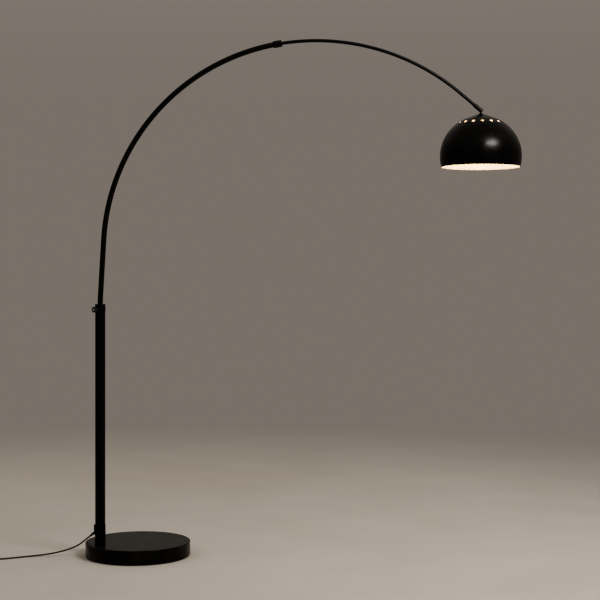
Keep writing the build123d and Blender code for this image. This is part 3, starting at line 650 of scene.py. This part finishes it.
def knob():
    """The clamp knob: ten round flutes, a crowned edge, a recess for the steel end."""
    turned_by, z = math.radians(50), 905.6
    aim = Vector((-math.cos(turned_by), -math.sin(turned_by), 0))
    rim, near, far, flutes = 10.5, 20.6, 33.5, 10
    flute_r, flute_at = 2.0, rim + 1.2

    def wave(angle, r):
        if r < 7:
            return r
        pitch = 2 * math.pi / flutes
        off = (angle + pitch / 2) % pitch - pitch / 2
        side = abs(flute_at * math.sin(off))
        cut = rim
        if side < flute_r:
            cut = flute_at * math.cos(off) - math.sqrt(flute_r**2 - side**2)
        depth = rim - min(cut, rim)
        return r - depth * min(1.0, max(0.0, (r - 7.0) / 3.0))

    profile = [(3.05, near), (8.6, near), (9.9, near + 0.12), (10.35, near + 0.45), (10.5, near + 1.1),
               (10.5, near + 3), (10.5, far - 3.2), (10.5, far - 1.5), (10.3, far - 0.75), (9.85, far - 0.25),
               (9.2, far), (7.6, far), (5.2, far - 0.15), (4.7, far - 0.25), (4.46, far - 0.5),
               (4.45, far - 4), (3.05, far - 4)]
    return lathe("lock_knob_look", profile, (POLE_X, 0, z), "lock_knob", axis=aim, sides=240, wave=wave)


base_stone()
pole_pieces()
collar()
knob()


# The bow's two tubes
def lower_tube():
    stations = straight(Vector((POLE_X, 0, STEM_BOTTOM)), 0, BEND_START - STEM_BOTTOM)[:-1]
    stations += arc(lean_centre, BEND_R, 0, LEAN)[:-1]
    stations += straight(lean_start, LEAN, lean_length, 6)[:-1]
    end_before_joint = 9
    last = JOINT_HEADING - math.degrees(end_before_joint / LOWER_ARC_R)
    stations += arc(lower_centre, LOWER_ARC_R, LEAN, last)
    return tube("lower_arm_tube_look", stations, LOWER_R, LOWER_BORE, "lower_arm_tube")


def upper_tube():
    inside_lower, end_before_pivot = 110, 14
    first = JOINT_HEADING - math.degrees(inside_lower / UPPER_ARC_R)
    stations = arc(upper_centre, UPPER_ARC_R, first, END_HEADING)[:-1]
    stations += straight(upper_arc_end, END_HEADING, PIVOT_AFTER_ARC - end_before_pivot)
    return tube("upper_arm_tube_look", stations, UPPER_R, UPPER_BORE, "upper_arm_tube")


lower_tube()
upper_tube()


# Shade: pierced dome, black outside and in its holes, warm white inside
def shade():
    radius, sheet, flat_r, slope = 150.0, 1.2, 9.0, 20.3
    centre_below_pivot, rim_below_pivot = 170.0, 209.3
    centre = pivot - Vector((0, 0, centre_below_pivot))
    rim_z = centre_below_pivot - rim_below_pivot
    holes, hole_r, hole_ring_r, first_hole = 16, 5.8, 84.0, -93.0
    ring_polar = math.degrees(math.asin(hole_ring_r / radius))
    per_cell, rows_in_band = 12, 8
    columns = holes * per_cell
    band_top, band_low = 29.2, 38.9
    black, white = 0, 1
    bm = bmesh.new()

    def azimuth(column):
        return math.radians(first_hole + (column / per_cell - 0.5) * 360 / holes)

    def direction(turn, polar):
        tilt = math.radians(polar)
        return Vector((math.sin(tilt) * math.cos(turn), math.sin(tilt) * math.sin(turn), math.cos(tilt)))

    def vertex(point):
        return bm.verts.new((centre + point) * MM)

    def ring_at(r, z):
        turns = [azimuth(c) for c in range(columns)]
        return [vertex(Vector((r * math.cos(turn), r * math.sin(turn), z))) for turn in turns]

    def sphere_ring(size, polar):
        return ring_at(size * math.sin(math.radians(polar)), size * math.cos(math.radians(polar)))

    def surface(size, material, hole_size):
        """One side of the sheet: flat top, cone, pierced band and bowl. Returns its edge rings and holes."""
        start = len(bm.faces)
        tangent_r, tangent_z = size * math.sin(math.radians(slope)), size * math.cos(math.radians(slope))
        top_z = tangent_z + (tangent_r - flat_r) * math.tan(math.radians(slope))
        upper = [ring_at(2.95, top_z), ring_at(6.0, top_z), ring_at(flat_r - 1, top_z)]
        for share in (0.0, 0.03, 0.15, 0.35, 0.55, 0.75, 0.95):
            upper.append(ring_at(flat_r + (tangent_r - flat_r) * share, top_z + (tangent_z - top_z) * share))
        upper += [sphere_ring(size, p) for p in (21.2, 22.6, 24.3, 26.7, band_top)]
        skin(bm, upper)
        last = math.degrees(math.acos(rim_z / size))
        steps = 30
        lower = [sphere_ring(size, band_low + (last - band_low) * i / steps) for i in range(steps)]
        lower.append(ring_at(math.sqrt(size**2 - rim_z**2) - 0.02, rim_z + 0.45))
        skin(bm, lower)
        polars = [band_top + (band_low - band_top) * s / rows_in_band for s in range(1, rows_in_band)]
        turns = [azimuth(cell * per_cell) for cell in range(holes)]
        sides = [[vertex(direction(turn, p) * size) for p in polars] for turn in turns]
        circles = []
        for cell in range(holes):
            first = cell * per_cell
            spread = [(first + i) % columns for i in range(per_cell + 1)]
            border = [upper[-1][c] for c in spread] + sides[(cell + 1) % holes]
            border += [lower[0][c] for c in reversed(spread)] + sides[cell][::-1]
            middle = direction(azimuth(first + per_cell / 2), ring_polar)
            east = Vector((0, 0, 1)).cross(middle).normalized()
            south = east.cross(middle)
            reach = hole_size / size
            loops = [border]
            for share in (0.3, 0.58, 0.8, 0.93, 1.0):
                loop = []
                for corner in border:
                    out = (corner.co / MM - centre).normalized()
                    angle = math.atan2(out.dot(south), out.dot(east))
                    edge = middle * math.sqrt(1 - reach**2)
                    edge += (east * math.cos(angle) + south * math.sin(angle)) * reach
                    loop.append(vertex(out.lerp(edge, share).normalized() * size))
                loops.append(loop)
            skin(bm, loops)
            circles.append((middle, east, south, loops[-1]))
        bm.faces.ensure_lookup_table()
        for face in bm.faces[start:]:
            face.material_index = material
        return upper[0], lower[-1], circles

    rounded = 0.22
    outer = surface(radius, black, hole_r + rounded)
    inner = surface(radius - sheet, white, hole_r + rounded)

    skin(bm, [outer[0], inner[0]])
    for outside, inside in zip(outer[2], inner[2]):
        loops = [outside[3]]
        for depth, grow in ((0.05, 0.1), (0.12, 0.03), (0.25, 0.0), (0.6, 0.0), (0.95, 0.0), (1.12, 0.07)):
            loops.append(hole_loop(vertex, outside, radius - depth, hole_r + grow, centre))
        loops.append(inside[3])
        skin(bm, loops)
    outer_r, inner_r = math.sqrt(radius**2 - rim_z**2), math.sqrt((radius - sheet) ** 2 - rim_z**2)
    half = (outer_r - inner_r) / 2
    bead = [outer[1]]
    for angle in (25, 50, 75, 105, 130, 155):
        bead.append(ring_at((outer_r + inner_r) / 2 + half * math.cos(math.radians(angle)),
                            rim_z + 0.45 - 0.43 * math.sin(math.radians(angle))))
    bead.append(inner[1])
    skin(bm, bead)
    return piece_from("shade_look", bm, "shade", extra=(ENAMEL,), crease=50)


def hole_loop(vertex, hole, size, hole_size, centre):
    """The loop of a hole's wall at one depth, in step with the loop on the sheet's face."""
    middle, east, south, edge = hole
    reach = hole_size / size
    loop = []
    for corner in edge:
        out = corner.co / MM - centre
        angle = math.atan2(out.dot(south), out.dot(east))
        place = middle * math.sqrt(1 - reach**2)
        place += (east * math.cos(angle) + south * math.sin(angle)) * reach
        loop.append(vertex(place * size))
    return loop


BULB_DROP = 128.0   # from the pivot to the middle of the bulb's ball


def holder_and_bulb():
    at = (pivot.x, 0, pivot.z)
    cap = [(2.95, -20), (8, -20), (16, -26), (20.5, -34), (20.5, -48), (18.5, -48), (18.5, -35), (15, -28),
           (7.5, -23), (2.95, -23)]
    lathe("holder_cap_look", softened(cap, [0, 1.5, 3, 3, 0.4, 0.3, 2, 2, 1, 0]), at, "holder_cap", sides=96)
    shell = [(18.5, -48.2), (20.5, -48.2), (20.5, -55.6), (22.5, -57.6), (22.5, -62.2), (20.5, -64.2),
             (20.3, -67), (19.9, -67.4), (19.8, -70), (19.4, -70.4), (19.3, -73), (19.0, -73.4), (19.0, -78),
             (17, -78), (18.5, -64)]
    lathe("holder_shell_look", softened(shell, [0.2, 0.4, 0.4, 0.8, 0.8, 0.4] + [0.2] * 6 + [0.5, 0.3, 0]),
          at, "holder_shell", sides=96)
    bulb_r, neck_r, neck_z = 30.0, 13.2, 48.0
    touch = math.radians(48.0)
    glass = [(bulb_r * math.cos(a), bulb_r * math.sin(a)) for a in
             (math.radians(-90) + (touch + math.radians(90)) * i / 36 for i in range(37))]
    glass[0] = (0.0, -bulb_r)
    start, lean = Vector(glass[-1]), Vector((-math.sin(touch), math.cos(touch)))
    end, up = Vector((neck_r, neck_z)), Vector((0.0, 1.0))
    reach = (end - start).length * 0.42
    for i in range(1, 15):
        t = i / 14
        a, b = start + lean * reach, end - up * reach
        point = start * (1 - t) ** 3 + a * 3 * t * (1 - t) ** 2 + b * 3 * t**2 * (1 - t) + end * t**3
        glass.append(tuple(point))
    glass.append((0.0, neck_z))
    middle = (pivot.x, 0, pivot.z - BULB_DROP)
    bulb = lathe("bulb_glass_look", glass, middle, "bulb_glass", sides=96, crease=60)
    bulb.visible_shadow = False
    screw = [(0, -53), (3.6, -53), (4.4, -53.4), (6, -56), (11.6, -57.4), (12.9, -58.2)]
    for i in range(6):
        z = -59.6 - i * 3.0
        screw += [(13.25, z), (13.3, z - 0.7), (12.55, z - 1.5), (12.5, z - 2.2)]
    screw += [(13.2, -78.2), (13.3, -79.8), (0, -79.8)]
    lathe("bulb_cap_look", softened(screw, 0.3, 2), at, "bulb_cap", sides=96)


shade()
holder_and_bulb()


# Light from the bulb, which moves with the shade, and the room's light
HORIZON, OVERHEAD = (0.19, 0.170, 0.150), (0.40, 0.37, 0.33)


def warm_light():
    data = bpy.data.lights.new("bulb_light", "POINT")
    data.energy = 1.5
    data.color = (1.0, 0.67, 0.34)
    data.shadow_soft_size = 0.028
    light = bpy.data.objects.new("bulb_light", data)
    collection.objects.link(light)
    light.location = (pivot - Vector((0, 0, BULB_DROP))) * MM
    light.parent = frame["bodies"]["shade"]


def soft_light(name, place, aim, size, energy, colour=(1.0, 0.96, 0.9)):
    data = bpy.data.lights.new(name, "AREA")
    data.shape = "ELLIPSE"
    data.size, data.size_y = size
    data.energy = energy
    data.color = colour
    light = bpy.data.objects.new(name, data)
    collection.objects.link(light)
    light.location = place
    light.rotation_mode = "QUATERNION"
    light.rotation_quaternion = (Vector(aim) - Vector(place)).to_track_quat("-Z", "Y")


def studio():
    """Bright overhead, a darker warm horizon, and one soft lamp high in front of the shade."""
    world = bpy.data.worlds.new("studio")
    world.use_nodes = True
    tree = world.node_tree
    place = tree.nodes.new("ShaderNodeTexCoord").outputs["Generated"]
    split = tree.nodes.new("ShaderNodeSeparateXYZ")
    tree.links.new(place, split.inputs["Vector"])
    climb = tree.nodes.new("ShaderNodeValToRGB")
    tree.links.new(split.outputs["Z"], climb.inputs["Fac"])
    ramp = climb.color_ramp
    ramp.interpolation = "EASE"
    ramp.elements[0].position, ramp.elements[0].color = 0.0, (*HORIZON, 1)
    ramp.elements[1].position, ramp.elements[1].color = 0.6, (*OVERHEAD, 1)
    middle = ramp.elements.new(0.12)
    middle.color = (*HORIZON, 1)
    tree.links.new(climb.outputs["Color"], tree.nodes["Background"].inputs["Color"])
    tree.nodes["Background"].inputs["Strength"].default_value = 1.0
    bpy.context.scene.world = world
    soft_light("key", (2.25, -2.0, 2.86), (1.0, 0, 1.3), (1.5, 0.7), 52)

    made, shader = shade_nodes("floor", roughness=0.75, Specular_IOR_Level=0.2)
    p = Pattern(made, shader)
    wide = p.noise(420, 4)
    away = p.node("VectorMath", Vector=p.place)
    away.operation = "LENGTH"
    p.set(Base_Color=p.ramp(wide, (0.35, (0.60, 0.565, 0.52)), (0.65, (0.635, 0.60, 0.555))),
          Roughness=p.span(p.noise(60, 4), 0.3, 0.7, 0.68, 0.8),
          Alpha=p.span(away.outputs["Value"], 1.7, 4.6, 1.0, 0.0))
    bm = bmesh.new()
    rings = [[bm.verts.new((r * math.cos(a), r * math.sin(a), 0)) for a in
              (2 * math.pi * i / 96 for i in range(96))] for r in (0.5, 1, 1.5, 2, 3, 4, 5)]
    skin(bm, rings)
    bm.faces.new(rings[0])
    mesh = bpy.data.meshes.new("floor")
    bm.to_mesh(mesh)
    bm.free()
    mesh.materials.append(made)
    floor = bpy.data.objects.new("floor", mesh)
    collection.objects.link(floor)


warm_light()
studio()
view = bpy.context.scene.view_settings
view.view_transform = "AgX"
view.look = "AgX - High Contrast"
view.exposure = 0.0
